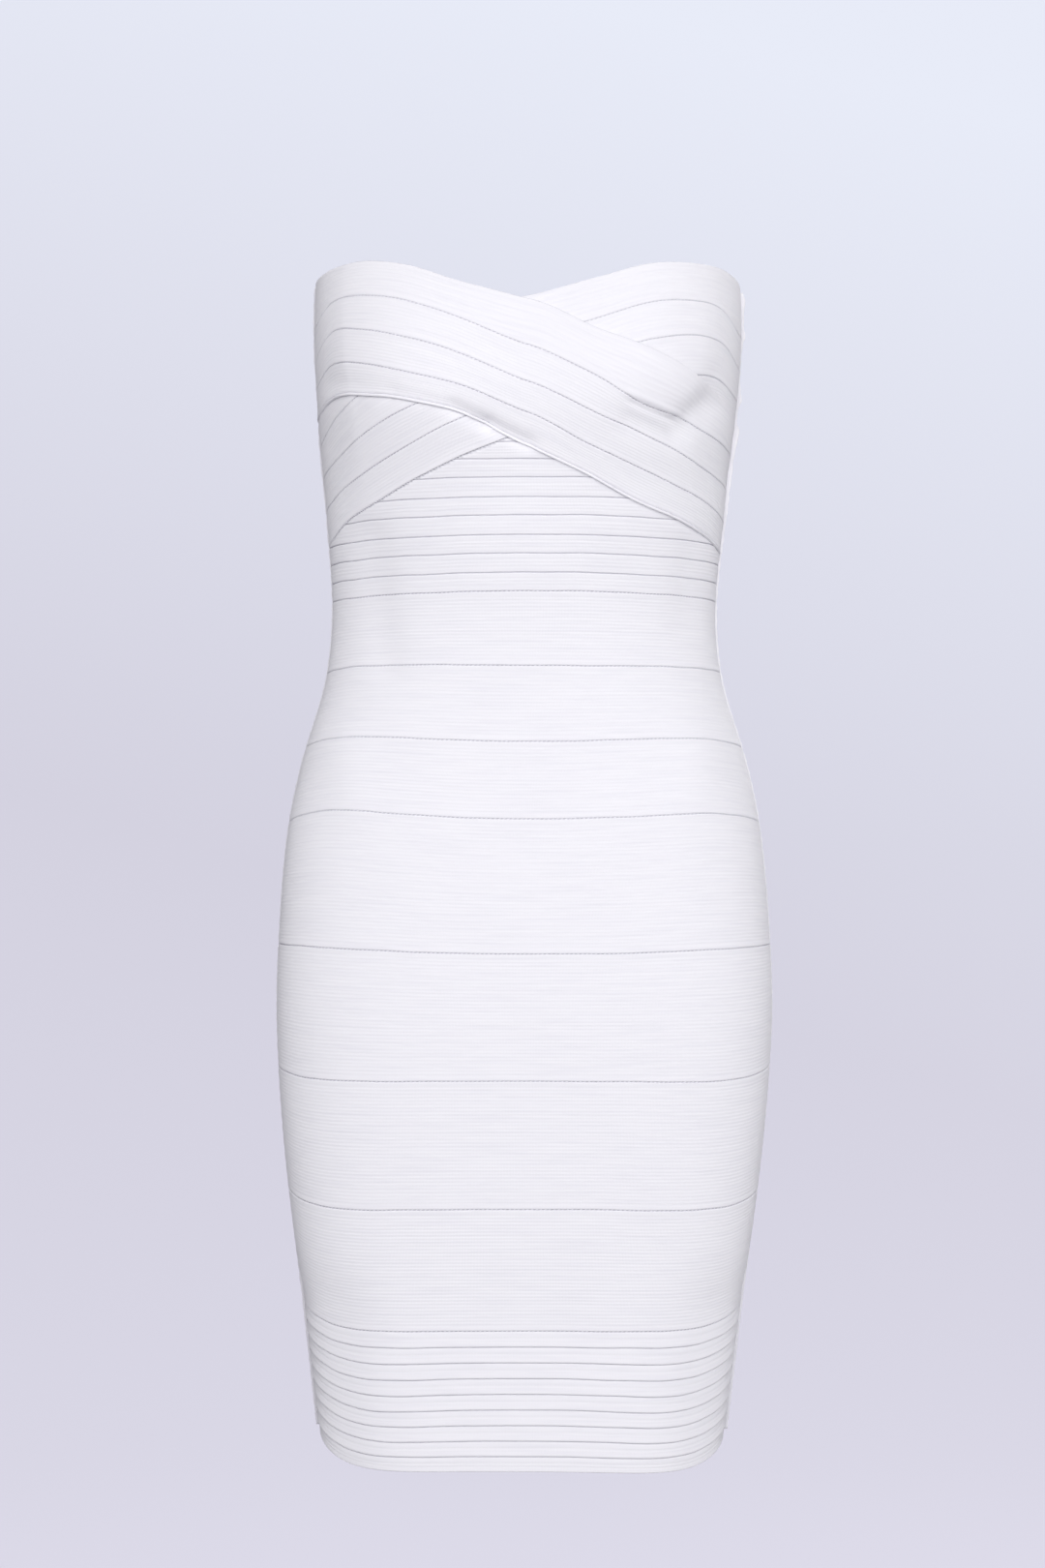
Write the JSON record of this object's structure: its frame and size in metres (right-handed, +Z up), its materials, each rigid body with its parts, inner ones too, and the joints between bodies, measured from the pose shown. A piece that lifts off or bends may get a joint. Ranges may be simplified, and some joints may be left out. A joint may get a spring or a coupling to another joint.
{
  "type": "bodycon dress",
  "caption": "Strapless knee-length bodycon dress of joined elastic bandage strips, with crossed bust wraps, sweetheart neckline and centre back zip, hollow in its worn form",
  "frame": {"origin": "on the wearer's axis inside the bust, at the chest line about 22 mm below the tops of the side seams, where the stretch knit grips the chest and holds the dress up", "axes": "+Z up along the body towards the neckline, -Y out of the front, +X towards the wearer's left side seam"},
  "size_m": [0.3263, 0.2468, 0.7714],
  "materials": {
    "knit": "matt white ribbed bandage knit",
    "zip_coil": "white nylon coil and tape",
    "zip_metal": "plain silver coloured metal"
  },
  "bodies": {
    "dress": {"over_wrap_band_1": "knit", "over_wrap_band_2": "knit", "over_wrap_band_3": "knit", "over_wrap_band_4": "knit", "under_wrap_band_1": "knit", "under_wrap_band_2": "knit", "under_wrap_band_3": "knit", "under_wrap_band_4": "knit", "front_midriff": "knit", "front_band_1": "knit", "front_band_2": "knit", "front_band_3": "knit", "front_band_4": "knit", "front_band_5": "knit", "front_band_6": "knit", "front_band_7": "knit", "front_hem": "knit", "back_left_bodice_1": "knit", "back_left_bodice_2": "knit", "back_left_midriff": "knit", "back_left_band_1": "knit", "back_left_band_2": "knit", "back_left_band_3": "knit", "back_left_band_4": "knit", "back_left_band_5": "knit", "back_left_band_6": "knit", "back_left_band_7": "knit", "back_left_hem": "knit", "back_right_bodice_1": "knit", "back_right_bodice_2": "knit", "back_right_midriff": "knit", "back_right_band_1": "knit", "back_right_band_2": "knit", "back_right_band_3": "knit", "back_right_band_4": "knit", "back_right_band_5": "knit", "back_right_band_6": "knit", "back_right_band_7": "knit", "back_right_hem": "knit", "side_seam_right": "knit", "side_seam_left": "knit", "zip_coil": "zip_coil", "zip_slider": "zip_metal"},
    "pull_tab": {"zip_pull_tab": "zip_metal"}
  },
  "joints": [
    {"name": "pull_tab_hinge", "type": "hinge", "parent": "dress", "child": "pull_tab", "pos_m": [0.00363, 0.0958, -0.0044], "axis": [1, 0, 0], "range_deg": [-3, 120]}
  ]
}
